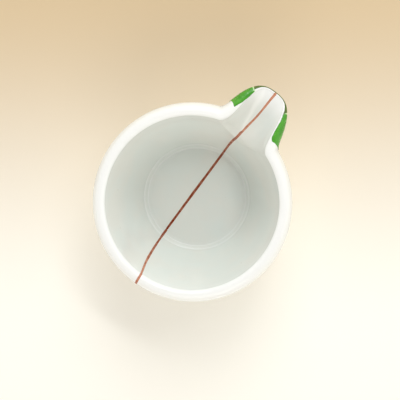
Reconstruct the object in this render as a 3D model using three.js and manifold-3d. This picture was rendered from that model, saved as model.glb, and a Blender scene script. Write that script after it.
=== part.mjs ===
// A small spouted pouring bowl in white porcelain, with overglaze enamel decoration.
//
// The bowl and its spout share one surface: a stack of closed loops that starts at the
// middle of the floor, climbs the inner wall, turns over the lip and comes down the
// outside. Each loop is a circle joined to a tongue, and the tongue is what makes the
// spout. The solid is then cut where the potter joins the two: the spout sits in a notch
// in the wall, on a thin layer of joining slip. The enamels lie on the same surface.
//
// Units are millimetres, +Z is up, and the bowl stands on its foot ring at z = 0. The
// spout points along +X. The origin is under the middle of the whole length.

import * as THREE from 'three';
import { mergeVertices } from 'three/addons/utils/BufferGeometryUtils.js';
import Module from 'manifold-3d';

const wasm = await Module();
wasm.setup();

// ---------------------------------------------------------------- driving dimensions

// Bowl
const BOWL_RADIUS = 40.2; // outside, at the lip
const BOWL_HEIGHT = 44; // from the foot's underside to the top of the lip
const RIM_THICKNESS = 5.4; // the wall at the lip
const LIP_INNER_DROP = 2; // from the lip's crest down to the inner wall
const LIP_OUTER_DROP = 5; // from the crest down to the outer wall: a longer curve
const LIP_CREST = 0.36; // the crest's place across the lip, as a share from the inside
const FLOOR_RADIUS = 21.6; // the flat floor inside
const FLOOR_THICKNESS = 4;
const FLOOR_FILLET = 2.4; // between the floor and the wall
const WALL_BOW = 1.5; // how far the inner wall bows out from a cone

// Foot ring
const FOOT_RADIUS = 22;
const FOOT_HEIGHT = 5;
const FOOT_WIDTH = 4.2; // at the bowl
const FOOT_TAPER = 0.8; // how much each side leans in towards the tread
const FOOT_EDGE = 0.5; // rounding of the tread's edges

// Spout
const SPOUT_OVERHANG = 14.9; // from the bowl's outside to the tip
const SPOUT_ROOT_WIDTH = 25.9; // outside, where it leaves the bowl
const CHANNEL_ROOT_WIDTH = 16.7; // inside, at the same place
const SPOUT_TIP_WALL = 0.8; // thickness of the tip
const CHANNEL_DEPTH = 13; // where the channel's bottom leaves the inner wall
const SPOUT_DEPTH = 11; // where the spout's underside meets the outer wall
const TIP_DIP = 3.2; // how far the pouring edge lies below the lip
const ROOT_FILLET = 3.4; // in plan, between the bowl's outside and the spout's
const CHANNEL_FILLET = 9; // in plan, where the channel's edges run into the rim

// Joints
const SEAM_SETBACK = 0.8; // the seam lies this far inside the lip's inner edge
const SADDLE_MARGIN_SIDE = 1.2; // the spout's root is this much wider than its outline
const SADDLE_MARGIN_BELOW = 3;
const SLIP_THICKNESS = 0.6;
const JOINT_GAP = 0.1; // between a piece and the slip, or the foot and the bowl

// Enamel
const ENAMEL_THICKNESS = 0.4;
const ENAMEL_GAP = 0.25;
const LINE_WIDTH = 0.95;
const TIP_BAND_WIDTH = 1.0; // down the outside of the tip
const OUTSIDE_LINE_LENGTH = 12; // the red line down the back of the bowl

// Smoothness of the solids
const SPOUT_STEPS = 44;
const BOWL_STEPS = 36;
const WALL_ROWS = 12;
const LIP_ROWS = 8;
const OUTSIDE_ROWS = 12;
const FILLET_ROWS = 4;
const RING_STEPS = 64;
const SADDLE_STEPS = 18;
const STROKE_STEP = 0.035;
const PATCH_STEPS = 22;
const PATCH_COLUMNS = 8;
const SEARCH_STEPS = 40;

// ------------------------------------------------------------------- worked-out sizes

const SPOUT_REACH = BOWL_RADIUS + SPOUT_OVERHANG;
const RIM_INNER_RADIUS = BOWL_RADIUS - RIM_THICKNESS;
const INNER_LIP_BASE = BOWL_HEIGHT - LIP_INNER_DROP;
const OUTER_LIP_BASE = BOWL_HEIGHT - LIP_OUTER_DROP;
const FLOOR_LEVEL = FOOT_HEIGHT + FLOOR_THICKNESS;
const SEAM_X = RIM_INNER_RADIUS - SEAM_SETBACK;
const CHANNEL_END = SPOUT_REACH - SPOUT_TIP_WALL;

// The tongue's outline is a superellipse about the bowl's axis, (x/X)^n + (y/W)^n = 1.
const OUTER_EXPONENT = 2.8;
const CHANNEL_EXPONENT = 4; // at the lip
const CHANNEL_FLOOR_EXPONENT = 2.4; // along the channel's bottom

// The tongue narrows with depth as an ellipse does, this many times the spout's depth
// deep, and its end draws back with depth to this power.
const OUTER_ROUNDING = 1.3;
const OUTER_DRAW_BACK = 0.95;
const CHANNEL_ROUNDING = 1.35;
const CHANNEL_DRAW_BACK = 0.8;

const { clamp, lerp, smoothstep } = THREE.MathUtils;

// Half-width W of the tongue that is `width` wide where it leaves the bowl.
function tongueWidth(width, length, exponent) {
  const along = Math.pow(BOWL_RADIUS / length, exponent);
  return width / 2 / Math.pow(1 - along, 1 / exponent);
}

const OUTER_WIDTH = tongueWidth(SPOUT_ROOT_WIDTH, SPOUT_REACH, OUTER_EXPONENT);
const CHANNEL_WIDTH = tongueWidth(CHANNEL_ROOT_WIDTH, CHANNEL_END, CHANNEL_EXPONENT);

// Half the angle that the spout and its fillets take up round the bowl.
const FILLET_SPREAD = 2.4; // length of the fillet along the bowl, in fillet sizes
const SPOUT_ANGLE = Math.asin(SPOUT_ROOT_WIDTH / 2 / BOWL_RADIUS)
  + FILLET_SPREAD * ROOT_FILLET / BOWL_RADIUS;

// The lip dips to the pouring edge between these two angles from the spout's middle.
const DIP_FULL_ANGLE = 0.05;
const DIP_START_ANGLE = 0.24;

// --------------------------------------------------------------------- bowl's profile

// Each curve's x is the radius and its y the height. The inner wall is a shallow arc on
// the line from the floor to the lip, and the fillet runs into it without a corner.
const innerWall = new THREE.QuadraticBezierCurve(
  new THREE.Vector2(FLOOR_RADIUS + FLOOR_FILLET / 2, FLOOR_LEVEL + FLOOR_FILLET),
  new THREE.Vector2(
    (FLOOR_RADIUS + RIM_INNER_RADIUS) / 2 + 2 * WALL_BOW,
    (FLOOR_LEVEL + INNER_LIP_BASE) / 2,
  ),
  new THREE.Vector2(RIM_INNER_RADIUS, INNER_LIP_BASE),
);

const floorFillet = new THREE.QuadraticBezierCurve(
  new THREE.Vector2(FLOOR_RADIUS - FLOOR_FILLET, FLOOR_LEVEL),
  new THREE.Vector2(FLOOR_RADIUS - FLOOR_FILLET / 4, FLOOR_LEVEL),
  innerWall.v0,
);

// The outer wall drops straight from the lip, then swings in to the foot. The shares say
// how far down, and how far in, the curve's two handles lie.
const SHOULDER_SHARE = 0.2;
const BELLY_SHARE_DOWN = 0.75;
const BELLY_SHARE_IN = 0.44;
const outerWall = new THREE.CubicBezierCurve(
  new THREE.Vector2(BOWL_RADIUS, OUTER_LIP_BASE),
  new THREE.Vector2(BOWL_RADIUS, lerp(OUTER_LIP_BASE, FOOT_HEIGHT, SHOULDER_SHARE)),
  new THREE.Vector2(
    lerp(BOWL_RADIUS, FOOT_RADIUS, BELLY_SHARE_IN),
    lerp(OUTER_LIP_BASE, FOOT_HEIGHT, BELLY_SHARE_DOWN),
  ),
  new THREE.Vector2(FOOT_RADIUS, FOOT_HEIGHT),
);

// The surface's first parameter s runs 0-1 inside, 1-2 over the lip and 2-3 outside.
const S_FLOOR = 0.3;
const S_FILLET = 0.4;

// Radius and height of the plain bowl inside, without its spout.
function innerProfile(s) {
  if (s <= S_FLOOR) {
    return new THREE.Vector2(floorFillet.v0.x * s / S_FLOOR, FLOOR_LEVEL);
  }
  if (s <= S_FILLET) {
    return floorFillet.getPoint((s - S_FLOOR) / (S_FILLET - S_FLOOR));
  }
  return innerWall.getPoint((s - S_FILLET) / (1 - S_FILLET));
}

// Radius of a wall curve at a height, for placing the ends of the spout.
function radiusAtHeight(curve, z) {
  const points = curve.getPoints(200);
  const near = (best, p) => (Math.abs(p.y - z) < Math.abs(best.y - z) ? p : best);
  return points.reduce(near).x;
}

const CHANNEL_RUN = CHANNEL_END - radiusAtHeight(innerWall, INNER_LIP_BASE - CHANNEL_DEPTH);
const UNDERSIDE_RUN = SPOUT_REACH - radiusAtHeight(outerWall, OUTER_LIP_BASE - SPOUT_DEPTH);

// ------------------------------------------------------------------ the shared surface

// Joins a circle and a tongue in plan with a fillet of size k.
function smoothMax(a, b, k) {
  const h = Math.max(k - Math.abs(a - b), 0);
  return Math.max(a, b) + h * h / (4 * k);
}

// Distance from the axis to a loop, at the angle theta from the spout's direction.
function loopRadius(theta, radius, length, width, exponent, fillet) {
  if (Math.cos(theta) <= 0 || length <= 0 || width <= 0) {
    return radius;
  }
  const along = Math.pow(Math.cos(theta) / length, exponent);
  const across = Math.pow(Math.abs(Math.sin(theta)) / width, exponent);
  return smoothMax(radius, Math.pow(along + across, -1 / exponent), fillet);
}

// How much of the tip's dip is felt at this angle: all of it in the middle of the tip.
function dipAt(theta) {
  return 1 - smoothstep(Math.abs(theta), DIP_FULL_ANGLE, DIP_START_ANGLE);
}

// Width of an ellipse at a depth, both as shares of its greatest.
function narrowing(depth) {
  return Math.sqrt(Math.max(1 - depth * depth, 0));
}

function polar(theta, radius, z) {
  return new THREE.Vector3(radius * Math.cos(theta), radius * Math.sin(theta), z);
}

// Plan radius of the inside at a depth below the lip, as a share of the channel's depth.
function innerRadius(theta, wallRadius, depth) {
  const length = CHANNEL_END - CHANNEL_RUN * Math.pow(depth, CHANNEL_DRAW_BACK);
  const width = CHANNEL_WIDTH * narrowing(depth / CHANNEL_ROUNDING);
  const deep = clamp(depth, 0, 1);
  const exponent = lerp(CHANNEL_EXPONENT, CHANNEL_FLOOR_EXPONENT, deep);
  const fillet = lerp(CHANNEL_FILLET, ROOT_FILLET, deep);
  return loopRadius(theta, wallRadius, length, width, exponent, fillet);
}

// Plan radius of the outside at a depth, as a share of the spout's depth.
function outerRadius(theta, wallRadius, depth) {
  const length = SPOUT_REACH - UNDERSIDE_RUN * Math.pow(depth, OUTER_DRAW_BACK);
  const width = OUTER_WIDTH * narrowing(depth / OUTER_ROUNDING);
  return loopRadius(theta, wallRadius, length, width, OUTER_EXPONENT, ROOT_FILLET);
}

// Thickness of the wall at the lip, square to the way the lip runs, as a share of the
// bowl's. It is 1 round the bowl, about half along the spout and little at the tip.
function lipShare(theta) {
  const inside = (angle) => polar(angle, innerRadius(angle, RIM_INNER_RADIUS, 0), 0);
  const outside = (angle) => polar(angle, outerRadius(angle, BOWL_RADIUS, 0), 0);
  const middle = (angle) => inside(angle).lerp(outside(angle), 0.5);
  const step = 1e-3;
  const run = middle(theta + step).sub(middle(theta - step)).normalize();
  const across = outside(theta).sub(inside(theta));
  return Math.min(Math.abs(run.x * across.y - run.y * across.x) / RIM_THICKNESS, 1);
}

// How far the upper wall is moved down at an angle, so that a thin lip has a small curve
// and its crest stays level, apart from the dip at the tip.
function lowering(theta, lipDrop) {
  return TIP_DIP * dipAt(theta) - lipDrop * (1 - lipShare(theta));
}

// The inside: the wall, with the channel cut into it. Its bottom rises to the tip.
function innerPoint(s, theta) {
  const profile = innerProfile(s);
  const depth = (INNER_LIP_BASE - profile.y) / CHANNEL_DEPTH;
  const down = lowering(theta, LIP_INNER_DROP) * Math.max(1 - depth, 0);
  return polar(theta, innerRadius(theta, profile.x, depth), profile.y - down);
}

// The outside: the wall and the spout's underside, which rises to the tip.
function outerPoint(s, theta) {
  const profile = outerWall.getPoint(s);
  const depth = (OUTER_LIP_BASE - profile.y) / SPOUT_DEPTH;
  const down = lowering(theta, LIP_OUTER_DROP) * Math.max(1 - depth, 0);
  return polar(theta, outerRadius(theta, profile.x, depth), profile.y - down);
}

// The lip: a quarter ellipse from the inside up to the crest, and a wider and taller one
// from the crest down to the outside.
function lipPoint(s, theta) {
  const turn = Math.PI * s;
  const share = lipShare(theta);
  const inside = innerPoint(1, theta);
  const outside = outerPoint(0, theta);
  const crest = BOWL_HEIGHT - TIP_DIP * dipAt(theta);
  const outward = turn > Math.PI / 2;
  const drop = share * (outward ? LIP_OUTER_DROP : LIP_INNER_DROP);
  const across = outward
    ? LIP_CREST - (1 - LIP_CREST) * Math.cos(turn)
    : LIP_CREST * (1 - Math.cos(turn));
  return inside.lerp(outside, across).setZ(crest - drop * (1 - Math.sin(turn)));
}

// A point of the glazed surface. theta is 0 along the spout.
function surfacePoint(s, theta) {
  if (s <= 1) {
    return innerPoint(s, theta);
  }
  return s < 2 ? lipPoint(s - 1, theta) : outerPoint(Math.min(s - 2, 1), theta);
}

// The direction out of the clay at a point of the surface.
function surfaceNormal(s, theta) {
  const step = 1e-4;
  const along = surfacePoint(s + step, theta).sub(surfacePoint(s - step, theta));
  const round = surfacePoint(s, theta + step).sub(surfacePoint(s, theta - step));
  return along.cross(round).normalize();
}

// --------------------------------------------------------------------- solids from grids

function indexedGeometry(vertices, triangles) {
  const geometry = new THREE.BufferGeometry();
  geometry.setAttribute('position', new THREE.Float32BufferAttribute(vertices, 3));
  geometry.setIndex(triangles);
  return geometry;
}

function toManifold(geometry) {
  return new wasm.Manifold(new wasm.Mesh({
    numProp: 3,
    vertProperties: Float32Array.from(geometry.attributes.position.array),
    triVerts: Uint32Array.from(geometry.index.array),
  }));
}

function toGeometry(manifold) {
  const mesh = manifold.getMesh();
  return indexedGeometry(Array.from(mesh.vertProperties), Array.from(mesh.triVerts));
}

// Angles round the bowl, close together over the spout and wider apart elsewhere.
function loopAngles() {
  const angles = [];
  for (let i = 0; i < SPOUT_STEPS; i += 1) {
    angles.push(lerp(-SPOUT_ANGLE, SPOUT_ANGLE, i / SPOUT_STEPS));
  }
  for (let i = 0; i < BOWL_STEPS; i += 1) {
    angles.push(lerp(SPOUT_ANGLE, 2 * Math.PI - SPOUT_ANGLE, i / BOWL_STEPS));
  }
  return angles;
}

// Values of s, from the floor's edge to the base's edge, closest together near the lip.
function loopRows() {
  const rows = [];
  for (let i = 0; i < FILLET_ROWS; i += 1) {
    rows.push(lerp(S_FLOOR, S_FILLET, i / FILLET_ROWS));
  }
  for (let i = 0; i < WALL_ROWS; i += 1) {
    rows.push(lerp(1, S_FILLET, Math.pow(1 - i / WALL_ROWS, 1.5)));
  }
  for (let i = 0; i < LIP_ROWS; i += 1) {
    rows.push(1 + i / LIP_ROWS);
  }
  for (let i = 0; i <= OUTSIDE_ROWS; i += 1) {
    rows.push(2 + Math.pow(i / OUTSIDE_ROWS, 1.4));
  }
  return rows;
}

// The bowl and spout as one closed solid, before they are cut apart.
function wholeForm() {
  const angles = loopAngles();
  const rows = loopRows();
  const count = angles.length;
  const vertices = [];
  const triangles = [];
  rows.forEach((s) => {
    angles.forEach((theta) => vertices.push(...surfacePoint(s, theta).toArray()));
  });
  for (let i = 0; i + 1 < rows.length; i += 1) {
    for (let j = 0; j < count; j += 1) {
      const a = i * count + j;
      const b = i * count + (j + 1) % count;
      triangles.push(a, a + count, b, b, a + count, b + count);
    }
  }
  const last = (rows.length - 1) * count;
  const floorCentre = rows.length * count;
  const baseCentre = floorCentre + 1;
  vertices.push(0, 0, FLOOR_LEVEL, 0, 0, FOOT_HEIGHT);
  for (let j = 0; j < count; j += 1) {
    const next = (j + 1) % count;
    triangles.push(floorCentre, j, next);
    triangles.push(baseCentre, last + next, last + j);
  }
  return toManifold(indexedGeometry(vertices, triangles));
}

// ----------------------------------------------------------------- the spout's joint

// The block that the spout's root fills: a U in the YZ plane, carried forward from the
// seam. `grow` widens it all round, for the slip and for the notch in the wall.
function saddleBlock(grow) {
  const halfWidth = SPOUT_ROOT_WIDTH / 2 + SADDLE_MARGIN_SIDE + grow;
  const bottom = OUTER_LIP_BASE - SPOUT_DEPTH - SADDLE_MARGIN_BELOW - grow;
  const arcCentre = bottom + halfWidth;
  const top = Math.max(BOWL_HEIGHT, arcCentre) + 5;
  const outline = new THREE.Shape();
  outline.moveTo(halfWidth, top);
  outline.lineTo(-halfWidth, top);
  outline.absarc(0, arcCentre, halfWidth, Math.PI, 2 * Math.PI, false);
  const length = SPOUT_REACH + 5 - SEAM_X + grow;
  const options = { depth: length, bevelEnabled: false, curveSegments: SADDLE_STEPS };
  const geometry = new THREE.ExtrudeGeometry(outline, options);
  const standUp = new THREE.Matrix4().makeBasis(
    new THREE.Vector3(0, 1, 0),
    new THREE.Vector3(0, 0, 1),
    new THREE.Vector3(1, 0, 0),
  );
  geometry.applyMatrix4(standUp);
  geometry.translate(SEAM_X - grow, 0, 0);
  return toManifold(welded(geometry));
}

function welded(geometry) {
  geometry.deleteAttribute('normal');
  geometry.deleteAttribute('uv');
  return mergeVertices(geometry, 1e-4);
}

const form = wholeForm();

function bowlBody() {
  const notch = saddleBlock(2 * JOINT_GAP + SLIP_THICKNESS);
  return toGeometry(form.subtract(notch));
}

function pouringSpout() {
  return toGeometry(form.intersect(saddleBlock(0)));
}

function spoutJointSlip() {
  const layer = saddleBlock(JOINT_GAP + SLIP_THICKNESS).subtract(saddleBlock(JOINT_GAP));
  return toGeometry(form.intersect(layer));
}

// ------------------------------------------------------------------------- foot ring

// A tapered ring with a flat tread. It leans in towards the tread on both sides.
function footRing() {
  const top = FOOT_HEIGHT - JOINT_GAP;
  const inner = FOOT_RADIUS - FOOT_WIDTH;
  const profile = [
    new THREE.Vector2(FOOT_RADIUS, top),
    new THREE.Vector2(inner, top),
    new THREE.Vector2(inner + FOOT_TAPER, FOOT_EDGE),
    new THREE.Vector2(inner + FOOT_TAPER + FOOT_EDGE, 0),
    new THREE.Vector2(FOOT_RADIUS - FOOT_TAPER - FOOT_EDGE, 0),
    new THREE.Vector2(FOOT_RADIUS - FOOT_TAPER, FOOT_EDGE),
    new THREE.Vector2(FOOT_RADIUS, top),
  ];
  const geometry = new THREE.LatheGeometry(profile, RING_STEPS);
  geometry.rotateX(Math.PI / 2);
  return welded(geometry);
}

// --------------------------------------------------------------------------- enamels

// A thin closed slab over a grid of surface points, each with its normal.
function enamelSlab(grid) {
  const rows = grid.length;
  const columns = grid[0].length;
  const vertices = [];
  const triangles = [];
  [ENAMEL_GAP + ENAMEL_THICKNESS, ENAMEL_GAP].forEach((lift) => {
    grid.flat().forEach(({ point, normal }) => {
      vertices.push(...point.clone().addScaledVector(normal, lift).toArray());
    });
  });
  const under = rows * columns;
  const quad = (a, b, c, d) => triangles.push(a, b, c, a, c, d);
  for (let i = 0; i + 1 < rows; i += 1) {
    for (let j = 0; j + 1 < columns; j += 1) {
      const a = i * columns + j;
      quad(a, a + columns, a + columns + 1, a + 1);
      quad(under + a, under + a + 1, under + a + columns + 1, under + a + columns);
    }
    const left = i * columns;
    const right = left + columns - 1;
    quad(left, under + left, under + left + columns, left + columns);
    quad(right, right + columns, under + right + columns, under + right);
  }
  for (let j = 0; j + 1 < columns; j += 1) {
    const last = (rows - 1) * columns + j;
    quad(j, j + 1, under + j + 1, under + j);
    quad(last, under + last, under + last + 1, last + 1);
  }
  return indexedGeometry(vertices, triangles);
}

// The point at signed parameter s (minus on the side away from the spout), y to the
// left of the spout's direction. The flat floor is crossed straight through its middle.
function pointOnLine(s, y) {
  const side = Math.sign(s) || 1;
  const level = Math.abs(s);
  if (level <= S_FLOOR) {
    const x = side * innerProfile(level).x;
    return { point: new THREE.Vector3(x, y, FLOOR_LEVEL), normal: new THREE.Vector3(0, 0, 1) };
  }
  let theta = side > 0 ? 0 : Math.PI;
  for (let i = 0; i < SEARCH_STEPS; i += 1) {
    const here = surfacePoint(level, theta);
    const turn = Math.asin(y / Math.hypot(here.x, here.y));
    theta = side > 0 ? turn : Math.PI - turn;
  }
  return { point: surfacePoint(level, theta), normal: surfaceNormal(level, theta) };
}

// One brush stroke of the red line between two signed parameters. `path` gives the
// line's offset y at equal steps along it.
function redStroke(from, to, path) {
  const steps = Math.ceil(Math.abs(to - from) / STROKE_STEP);
  const grid = [];
  for (let i = 0; i <= steps; i += 1) {
    const s = lerp(from, to, i / steps);
    const place = (i / steps) * (path.length - 1);
    const k = Math.min(Math.floor(place), path.length - 2);
    const y = lerp(path[k], path[k + 1], place - k);
    grid.push([1, 0, -1].map((edge) => pointOnLine(s, y + edge * LINE_WIDTH / 2)));
  }
  return enamelSlab(grid);
}

// The parameter at which the channel's middle line reaches the distance x.
function parameterAt(x) {
  let low = S_FLOOR;
  let high = 1;
  for (let i = 0; i < SEARCH_STEPS; i += 1) {
    const middle = (low + high) / 2;
    if (surfacePoint(middle, 0).x < x) {
      low = middle;
    } else {
      high = middle;
    }
  }
  return low;
}

// The strokes meet end to end, each with a small break where the brush was lifted.
const STROKE_BREAK = 0.012;
const SEAM_BREAK = 0.3; // in millimetres, along the channel
const S_TIP_EDGE = 1.55;
const S_LIP_INSIDE = 1.02;
const S_OUTSIDE_END = 2 + OUTSIDE_LINE_LENGTH / outerWall.getLength();

function redLineSpout() {
  return redStroke(S_TIP_EDGE, parameterAt(SEAM_X + SEAM_BREAK), [0.5, 0.9, 1.2, 1.7]);
}

function redLineFloor() {
  return redStroke(parameterAt(SEAM_X - SEAM_BREAK), -S_FLOOR, [2.0, 2.4, 2.3, 2.1, 1.8, 1.4, 1.2]);
}

function redLineFarWall() {
  return redStroke(-S_FLOOR - STROKE_BREAK, -S_LIP_INSIDE, [1.2, 0.9, 0.3, -1.1]);
}

function redLineOutside() {
  return redStroke(-S_LIP_INSIDE - STROKE_BREAK, -S_OUTSIDE_END, [-1.2, -2.2, -2.9, -3.3]);
}

// A patch of green between two angles. Its two long edges are given in s.
function greenPatch(fromAngle, toAngle, steps, innerEdge, outerEdge) {
  const grid = [];
  for (let i = 0; i <= steps; i += 1) {
    const part = i / steps;
    const theta = lerp(fromAngle, toAngle, part);
    const row = [];
    for (let j = 0; j <= PATCH_COLUMNS; j += 1) {
      const s = lerp(innerEdge(part), outerEdge(part), j / PATCH_COLUMNS);
      row.push({ point: surfacePoint(s, theta), normal: surfaceNormal(s, theta) });
    }
    grid.push(fromAngle > toAngle ? row : row.reverse());
  }
  return enamelSlab(grid);
}

// Angle at which the lip's middle line reaches the distance x along the spout.
function lipAngle(x) {
  let near = 0;
  let far = SPOUT_ANGLE;
  for (let i = 0; i < SEARCH_STEPS; i += 1) {
    const middle = (near + far) / 2;
    if (surfacePoint(1.5, middle).x > x) {
      near = middle;
    } else {
      far = middle;
    }
  }
  return near;
}

// The patches cover the lip from its middle line to its outer edge, from the
// spout's root to the tip's corners. They stop short of the band round the tip.
const PATCH_END = SPOUT_REACH - 4.6;
const TIP_BAND_END = SPOUT_REACH - 3.4;
const LEFT_PATCH_ROOT = BOWL_RADIUS + 0.6;
const RIGHT_PATCH_ROOT = BOWL_RADIUS - 0.9;
const S_GREEN_INNER = 1.45;
const S_GREEN_OUTER = 2;

// The left patch's root end is cut off at a slant.
function greenPatchLeft() {
  const inner = () => S_GREEN_INNER;
  const outer = (part) => lerp(1.9, S_GREEN_OUTER, clamp(part * 6, 0, 1));
  return greenPatch(lipAngle(LEFT_PATCH_ROOT), lipAngle(PATCH_END), PATCH_STEPS, inner, outer);
}

// The right patch's root end runs to a point on the outside.
function greenPatchRight() {
  const inner = (part) => lerp(1.8, S_GREEN_INNER, clamp(part * 3, 0, 1));
  const outer = () => S_GREEN_OUTER;
  return greenPatch(-lipAngle(RIGHT_PATCH_ROOT), -lipAngle(PATCH_END), PATCH_STEPS, inner, outer);
}

// The band round the tip's outer edge, widest at its two ends.
function greenTipBand() {
  const angle = lipAngle(TIP_BAND_END);
  const inner = (part) => 1.72 - 0.3 * Math.abs(2 * part - 1);
  const outer = () => 2 + TIP_BAND_WIDTH / SPOUT_DEPTH;
  return greenPatch(angle, -angle, 16, inner, outer);
}

// ------------------------------------------------------------------------- the object

function glazed(colour) {
  return () => new THREE.MeshStandardMaterial({ color: colour, roughness: 0.12, metalness: 0 });
}

function bareClay(colour) {
  return () => new THREE.MeshStandardMaterial({ color: colour, roughness: 0.75, metalness: 0 });
}

const porcelain = glazed(0xf1f1ea);
const redEnamel = glazed(0x7a3326);
const greenEnamel = glazed(0x4ca532);
const footClay = bareClay(0xe8e0d0);

const pieces = [
  ['bowl_body', bowlBody, porcelain],
  ['foot_ring', footRing, footClay],
  ['pouring_spout', pouringSpout, porcelain],
  ['spout_joint_slip', spoutJointSlip, porcelain],
  ['red_line_spout', redLineSpout, redEnamel],
  ['red_line_floor', redLineFloor, redEnamel],
  ['red_line_far_wall', redLineFarWall, redEnamel],
  ['red_line_outside', redLineOutside, redEnamel],
  ['green_patch_left', greenPatchLeft, greenEnamel],
  ['green_patch_right', greenPatchRight, greenEnamel],
  ['green_tip_band', greenTipBand, greenEnamel],
];

const bowl = new THREE.Group();
for (const [name, makeGeometry, makeMaterial] of pieces) {
  const mesh = new THREE.Mesh(makeGeometry(), makeMaterial());
  mesh.name = name;
  bowl.add(mesh);
}
bowl.position.x = (BOWL_RADIUS - SPOUT_REACH) / 2;

const pouringBowl = new THREE.Group();
pouringBowl.add(bowl);

export default pouringBowl;
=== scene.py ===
# %% [markdown]
# A small porcelain pouring bowl, with a spout joined to its wall and a hand-painted line.
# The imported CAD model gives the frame: where the bowl stands and how big it is. This
# script builds the fine surfaces round it. Everything is in metres, with +Z up, and the
# spout points along +X.

# %% Load the frame
import math

import bmesh
import bpy
import numpy as np
from mathutils import Matrix, Vector


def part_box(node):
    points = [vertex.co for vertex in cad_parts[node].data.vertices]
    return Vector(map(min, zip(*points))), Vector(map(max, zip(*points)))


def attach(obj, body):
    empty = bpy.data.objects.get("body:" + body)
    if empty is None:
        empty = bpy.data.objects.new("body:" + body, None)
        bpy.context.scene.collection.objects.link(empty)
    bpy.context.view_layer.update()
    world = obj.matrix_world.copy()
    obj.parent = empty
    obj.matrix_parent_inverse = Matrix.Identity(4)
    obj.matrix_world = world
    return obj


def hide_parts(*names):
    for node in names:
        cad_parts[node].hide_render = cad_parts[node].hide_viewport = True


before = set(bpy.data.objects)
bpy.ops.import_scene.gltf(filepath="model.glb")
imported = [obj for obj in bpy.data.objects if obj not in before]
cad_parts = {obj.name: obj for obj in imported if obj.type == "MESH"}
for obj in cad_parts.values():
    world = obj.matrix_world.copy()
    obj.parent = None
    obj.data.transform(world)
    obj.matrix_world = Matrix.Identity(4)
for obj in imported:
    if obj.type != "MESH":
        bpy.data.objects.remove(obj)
bpy.context.view_layer.update()

# %% [markdown]
# A potter's bowl is easiest to describe by its profile: a line from the middle of the
# floor, up the inner wall, over the lip and down the outside. The sizes come from the
# CAD pieces' boxes where a box can give them. The rest are the potter's own measures,
# such as the thickness of the lip, and they are written here once.

# %% Sizes of the bowl
MM = 0.001
body_low, body_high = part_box("bowl_body")
spout_low, spout_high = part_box("pouring_spout")
foot_low, foot_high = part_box("foot_ring")

BOWL_RADIUS = round((body_high.y - body_low.y) / 2, 4)
AXIS_X = body_low.x + BOWL_RADIUS
HEIGHT = body_high.z
FOOT_HEIGHT = body_low.z
FOOT_RADIUS = (foot_high.y - foot_low.y) / 2
SPOUT_REACH = spout_high.x - AXIS_X
SEAM_X = spout_low.x - AXIS_X

LIP = 5.4 * MM
LIP_INNER_DROP = 2 * MM
LIP_OUTER_DROP = 5 * MM
LIP_CREST = 0.36
FLOOR_RADIUS = 21.6 * MM
FLOOR_THICKNESS = 4 * MM
FLOOR_FILLET = 2.4 * MM
WALL_BOW = 1.5 * MM
print("bowl radius", BOWL_RADIUS, "spout reach", round(SPOUT_REACH, 4), "seam at", round(SEAM_X, 4))

# %% [markdown]
# The spout is a tongue-shaped channel. Its widths are measured where it crosses the
# bowl's outside. The exponents say how blunt it is from above: 2 is an ellipse, and a
# higher number comes closer to a rectangle. The roundings say how fast it narrows with
# depth, and the draw-backs how its bottom runs back to the wall.

# %% Sizes of the spout
SPOUT_ROOT_WIDTH = 25.9 * MM
CHANNEL_ROOT_WIDTH = 16.7 * MM
TIP_WALL = 0.8 * MM
CHANNEL_DEPTH = 13 * MM
SPOUT_DEPTH = 11 * MM
TIP_DIP = 3.2 * MM
ROOT_FILLET = 3.4 * MM
CHANNEL_FILLET = 9 * MM
OUTER_EXPONENT, CHANNEL_EXPONENT, CHANNEL_FLOOR_EXPONENT = 2.8, 4.0, 2.4
OUTER_ROUNDING, CHANNEL_ROUNDING = 1.3, 1.35
OUTER_DRAW_BACK, CHANNEL_DRAW_BACK = 0.95, 0.8
DIP_FULL_ANGLE, DIP_START_ANGLE = 0.05, 0.24

RIM_INNER = BOWL_RADIUS - LIP
FLOOR_LEVEL = FOOT_HEIGHT + FLOOR_THICKNESS
INNER_BASE = HEIGHT - LIP_INNER_DROP
OUTER_BASE = HEIGHT - LIP_OUTER_DROP
CHANNEL_END = SPOUT_REACH - TIP_WALL


def tongue_width(width, length, exponent):
    """Half-width W of the superellipse (x/X)^n + (y/W)^n = 1 that is `width` wide where
    it crosses the bowl's outside."""
    return width / 2 / (1 - (BOWL_RADIUS / length) ** exponent) ** (1 / exponent)


OUTER_WIDTH = tongue_width(SPOUT_ROOT_WIDTH, SPOUT_REACH, OUTER_EXPONENT)
CHANNEL_WIDTH = tongue_width(CHANNEL_ROOT_WIDTH, CHANNEL_END, CHANNEL_EXPONENT)
print("tongue half-widths at the axis:", round(OUTER_WIDTH, 4), round(CHANNEL_WIDTH, 4))

# %% [markdown]
# The profile's three stretches are Bezier curves, the same kind that a drawing program
# uses: the fillet at the floor's edge, the inner wall and the outer wall. Each point is
# a blend of the curve's handles, and a whole array of them is worked out at once.


# %% Profile curves
def bezier(handles, t):
    """Points of a Bezier curve: each handle times its Bernstein weight, summed."""
    n = len(handles) - 1
    t = np.asarray(t, float)[..., None]
    return sum(
        math.comb(n, k) * (1 - t) ** (n - k) * t**k * np.array(h, float)
        for k, h in enumerate(handles)
    )


def mix(a, b, t):
    """The value a share t of the way from a to b."""
    return a + (b - a) * t


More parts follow.
